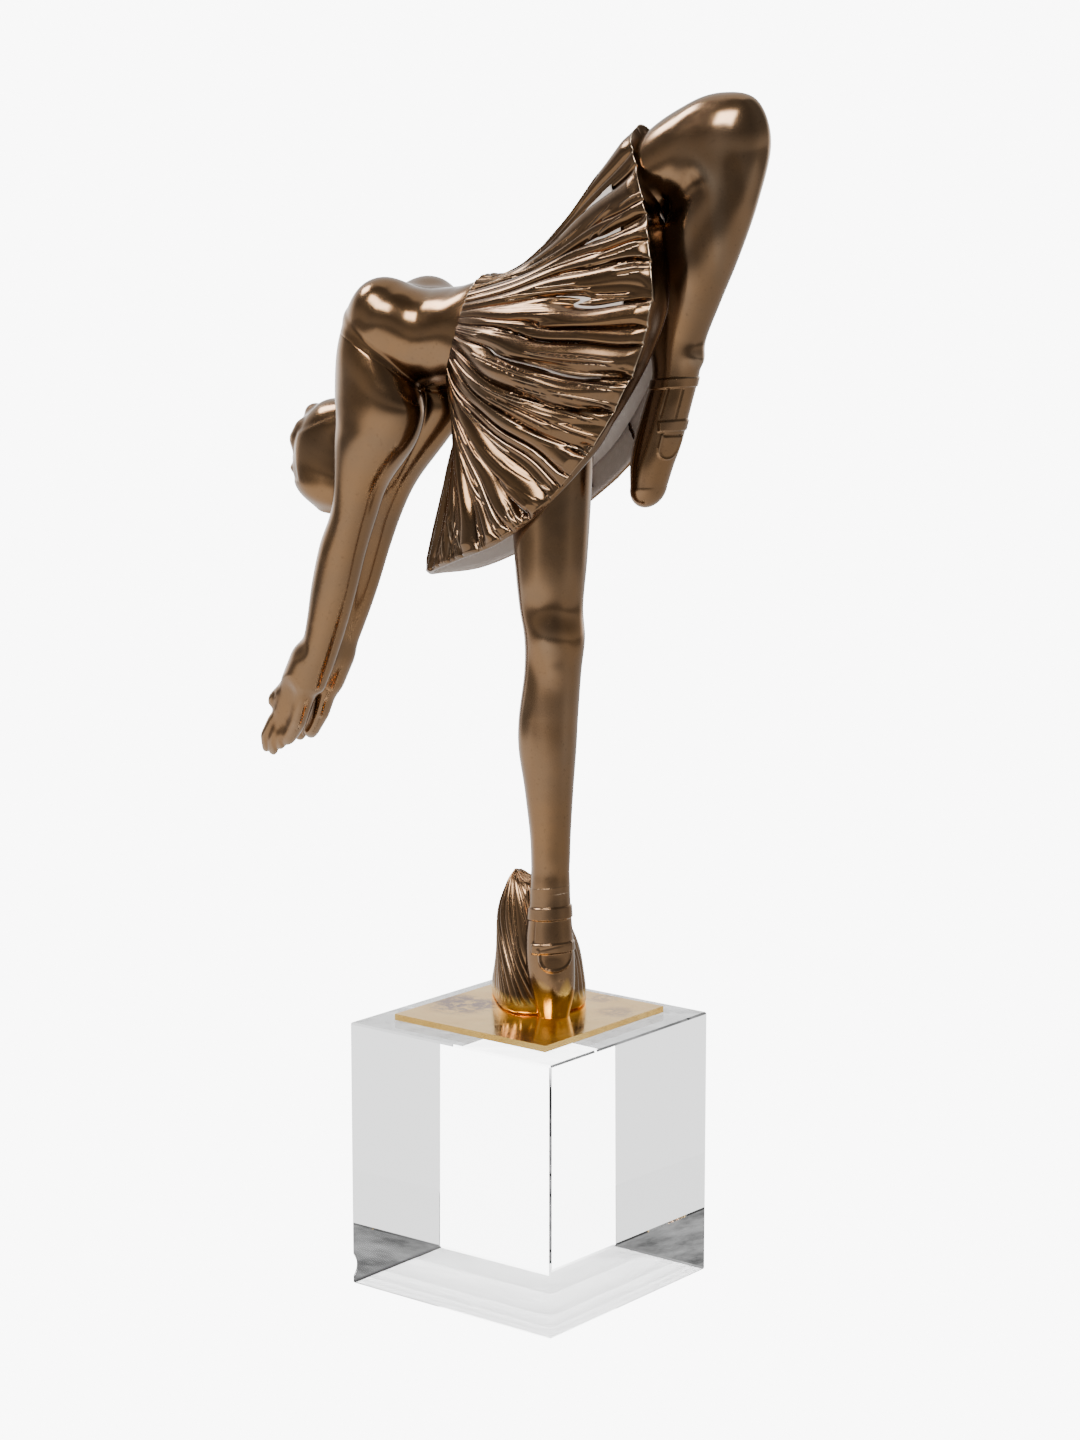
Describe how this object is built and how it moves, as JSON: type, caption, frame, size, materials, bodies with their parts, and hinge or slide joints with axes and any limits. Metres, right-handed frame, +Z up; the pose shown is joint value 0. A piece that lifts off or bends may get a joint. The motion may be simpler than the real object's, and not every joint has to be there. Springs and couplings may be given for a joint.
{
  "type": "dancer statuette",
  "caption": "Bronze figure of a dancer in a deep backbend on one pointed foot, on a brass plate and a clear crystal block.",
  "frame": {"origin": "centre of the crystal block's bottom face", "axes": "+Z up; +X the way the dancer faces; +Y the dancer's left"},
  "size_m": [0.1918, 0.08, 0.369],
  "materials": {
    "bronze": "satin brown patina, rubbed lighter on the high places",
    "gilt_brass": "polished, with a brown stain and fine wear",
    "crystal": "polished clear optical glass",
    "adhesive": "clear cured adhesive, wrinkled",
    "steel": "plain turned steel"
  },
  "bodies": {
    "root": {"crystal_block": "crystal", "adhesive_film": "adhesive", "brass_plate": "gilt_brass", "plate_screws": "steel", "foot_mount": "bronze", "standing_shoe": "bronze", "standing_leg": "bronze", "leg_rod": "steel", "hips": "bronze", "skirt": "bronze", "raised_leg": "bronze", "raised_shoe": "bronze", "torso": "bronze", "right_arm": "bronze", "left_arm": "bronze", "head": "bronze", "waist_dowel": "steel", "neck_dowel": "steel", "shoulder_dowels": "steel", "hip_dowel": "steel", "ankle_dowel": "steel"}
  },
  "joints": []
}
